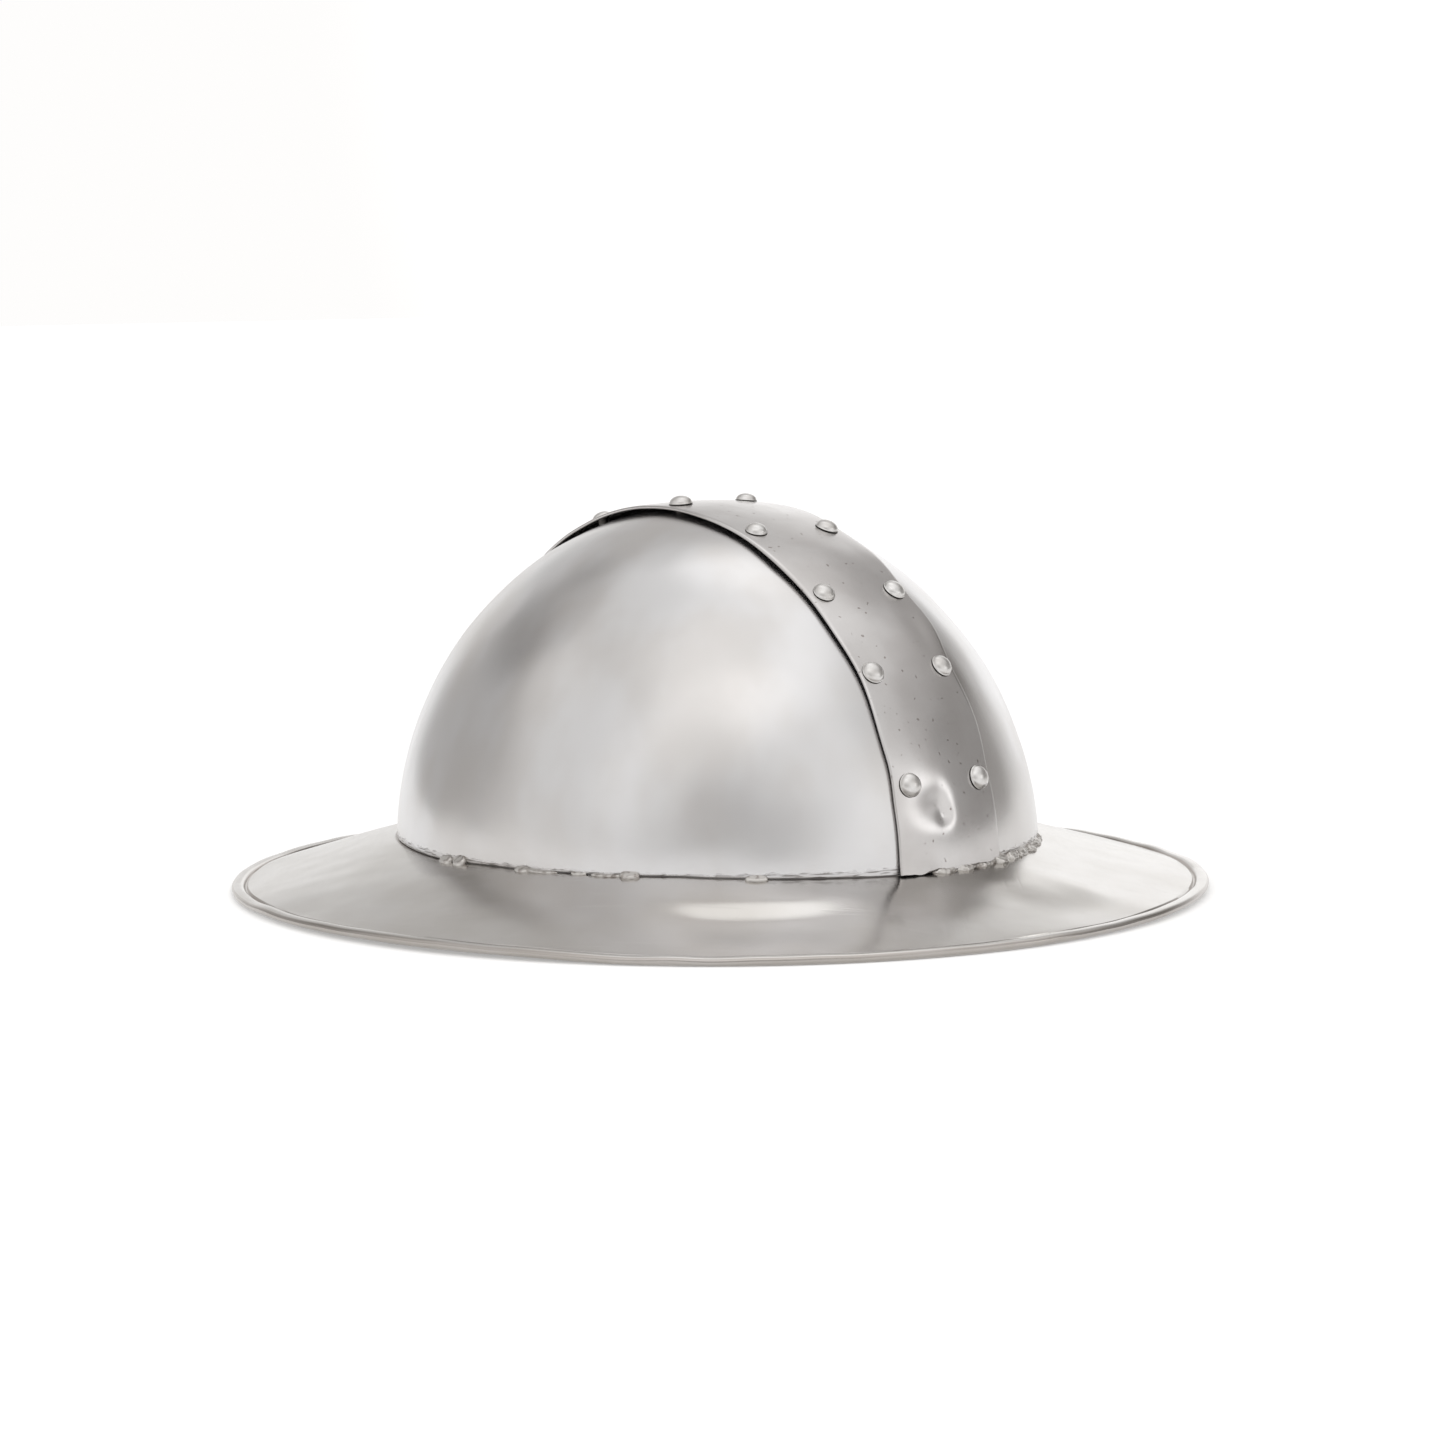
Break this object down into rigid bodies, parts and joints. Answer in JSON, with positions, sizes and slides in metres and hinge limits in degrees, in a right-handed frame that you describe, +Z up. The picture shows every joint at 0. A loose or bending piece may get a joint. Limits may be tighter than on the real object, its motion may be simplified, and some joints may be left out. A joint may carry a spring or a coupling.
{
  "type": "kettle hat with a riveted median band",
  "caption": "Brimmed steel war hat: domed crown of two half bowls under a riveted front-to-back band, wide sloping brim with a rolled rim.",
  "frame": {"origin": "on the floor under the middle of the rim", "axes": "+Z up, -Y to the front of the hat, +X to the wearer's left"},
  "size_m": [0.337, 0.3688, 0.1404],
  "materials": {
    "crown_steel": "satin, planished by hand and polished",
    "band_steel": "satin, polished lengthwise, darker at its dents",
    "brim_steel": "satin, polished round the hat, with ground welds at the crown's foot",
    "rivet_steel": "polished domed heads"
  },
  "bodies": {
    "root": {"crown_half_right": "crown_steel", "crown_half_left": "crown_steel", "band": "band_steel", "brim": "brim_steel", "rivet_right_1": "rivet_steel", "rivet_right_2": "rivet_steel", "rivet_right_3": "rivet_steel", "rivet_right_4": "rivet_steel", "rivet_right_5": "rivet_steel", "rivet_right_6": "rivet_steel", "rivet_right_7": "rivet_steel", "rivet_right_8": "rivet_steel", "rivet_right_9": "rivet_steel", "rivet_left_1": "rivet_steel", "rivet_left_2": "rivet_steel", "rivet_left_3": "rivet_steel", "rivet_left_4": "rivet_steel", "rivet_left_5": "rivet_steel", "rivet_left_6": "rivet_steel", "rivet_left_7": "rivet_steel", "rivet_left_8": "rivet_steel", "rivet_left_9": "rivet_steel"}
  },
  "joints": []
}
